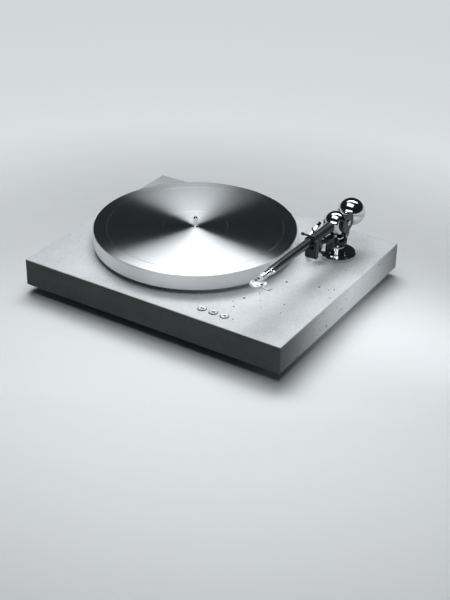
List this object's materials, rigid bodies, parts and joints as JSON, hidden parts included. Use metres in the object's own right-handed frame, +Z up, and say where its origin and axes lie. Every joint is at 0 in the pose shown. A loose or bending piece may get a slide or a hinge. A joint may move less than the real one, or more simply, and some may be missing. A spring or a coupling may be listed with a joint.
{
  "type": "turntable",
  "caption": "Belt-driven record player with a concrete plinth, a solid metal platter, push buttons and a balanced tonearm with spherical bearing housing and counterweight.",
  "frame": {"origin": "on the table, under the middle of the plinth", "axes": "+X to the right, +Y to the back, +Z up; the buttons are at the front, -Y"},
  "size_m": [0.454, 0.37, 0.138],
  "materials": {
    "concrete": "matte",
    "black_steel": "satin",
    "steel": "satin",
    "turned_aluminium": "satin",
    "foot_aluminium": "satin",
    "rubber": "matte",
    "bronze": "satin",
    "brass": "satin",
    "black_acetal": "satin",
    "motor_steel": "satin",
    "button_metal": "satin",
    "board": "satin",
    "lens": "gloss",
    "chrome": "polished",
    "polished_aluminium": "polished",
    "black_aluminium": "satin",
    "gloss_black": "gloss",
    "carbon": "gloss",
    "gold": "polished"
  },
  "bodies": {
    "base": {"plinth": "concrete", "bottom_plate": "black_steel", "plate_screws": "steel", "feet": "foot_aluminium", "foot_pads": "rubber", "bearing_housing": "brass", "bearing_bushes": "bronze", "housing_screws": "steel", "motor_plate": "turned_aluminium", "motor_can": "motor_steel", "motor_screws": "steel", "drive_belt": "rubber", "button_sleeves": "black_acetal", "control_board": "board", "board_posts": "brass", "status_light": "lens", "socket_panel": "black_steel", "panel_screws": "steel", "signal_jacks": "gold", "ground_post": "gold", "power_inlet": "black_acetal", "arm_base": "chrome", "pillar": "chrome", "arm_nut": "steel", "height_collar": "chrome", "yaw_bearings": "steel", "rest_bracket": "black_aluminium", "bracket_bolt": "steel", "arm_rest": "black_aluminium", "rest_screw": "chrome", "rest_thumbscrew": "chrome", "lift_cylinder": "chrome"},
    "turning_platter": {"platter": "turned_aluminium", "sub_platter": "black_acetal", "platter_spindle": "steel"},
    "pulley": {"motor_pulley": "turned_aluminium"},
    "key_33": {"button_33": "button_metal"},
    "key_45": {"button_45": "button_metal"},
    "key_stop": {"button_stop": "button_metal"},
    "dial": {"bias_dial": "chrome"},
    "arm_lift": {"lift_bar": "black_aluminium"},
    "lever": {"cue_lever": "chrome", "lever_grip": "gloss_black"},
    "yoke": {"arm_yoke": "chrome", "cheek_left": "gloss_black", "cheek_right": "gloss_black", "cheek_screws": "steel", "pivot_screws": "chrome"},
    "arm": {"front_ball": "polished_aluminium", "rear_stub": "chrome", "arm_boss": "black_aluminium", "wand_collar": "black_aluminium", "collar_knob": "black_aluminium", "arm_wand": "carbon", "arm_neck": "chrome", "clamp_screw": "chrome", "headshell": "polished_aluminium", "finger_lift": "chrome"},
    "weight": {"counterweight": "polished_aluminium", "weight_screw": "steel"}
  },
  "joints": [
    {"name": "platter_spin", "type": "hinge", "parent": "base", "child": "turning_platter", "pos_m": [-0.04, 0.006, 0.062], "axis": [0, 0, 1], "continuous": true},
    {"name": "pulley_spin", "type": "hinge", "parent": "base", "child": "pulley", "pos_m": [-0.13039, 0.08185, 0.058], "axis": [0, 0, 1], "continuous": true},
    {"name": "press_33", "type": "slide", "parent": "base", "child": "key_33", "axis": [0, 0, -1], "range_m": [0, 0.0009], "stiffness_N_per_m": 400, "springref_m": -0.0008},
    {"name": "press_45", "type": "slide", "parent": "base", "child": "key_45", "axis": [0, 0, -1], "range_m": [0, 0.0009], "stiffness_N_per_m": 400, "springref_m": -0.0008},
    {"name": "press_stop", "type": "slide", "parent": "base", "child": "key_stop", "axis": [0, 0, -1], "range_m": [0, 0.0009], "stiffness_N_per_m": 400, "springref_m": -0.0008},
    {"name": "arm_turn", "type": "hinge", "parent": "base", "child": "yoke", "pos_m": [0.164, 0.099, 0.09], "axis": [0, 0, -1], "range_deg": [0, 52]},
    {"name": "arm_tilt", "type": "hinge", "parent": "yoke", "child": "arm", "pos_m": [0.164, 0.099, 0.116], "axis": [-0.9994, 0.0349, 0], "range_deg": [0, 12]},
    {"name": "weight_slide", "type": "slide", "parent": "arm", "child": "weight", "axis": [0.0349, 0.9994, 0], "range_m": [0, 0.01]},
    {"name": "lift_rise", "type": "slide", "parent": "base", "child": "arm_lift", "axis": [0, 0, 1], "range_m": [0, 0.0037]},
    {"name": "lever_turn", "type": "hinge", "parent": "base", "child": "lever", "pos_m": [0.13355, 0.06605, 0.093], "axis": [-0.9994, 0.0349, 0], "range_deg": [0, 60]},
    {"name": "bias_turn", "type": "hinge", "parent": "base", "child": "dial", "pos_m": [0.17133, 0.0337, 0.093], "axis": [0, 0, 1], "range_deg": [0, 270]}
  ],
  "couplings": [
    {"joint": "pulley_spin", "follows": "platter_spin", "ratio": 12.5},
    {"joint": "lever_turn", "follows": "lift_rise", "rad_per_m": 283}
  ]
}
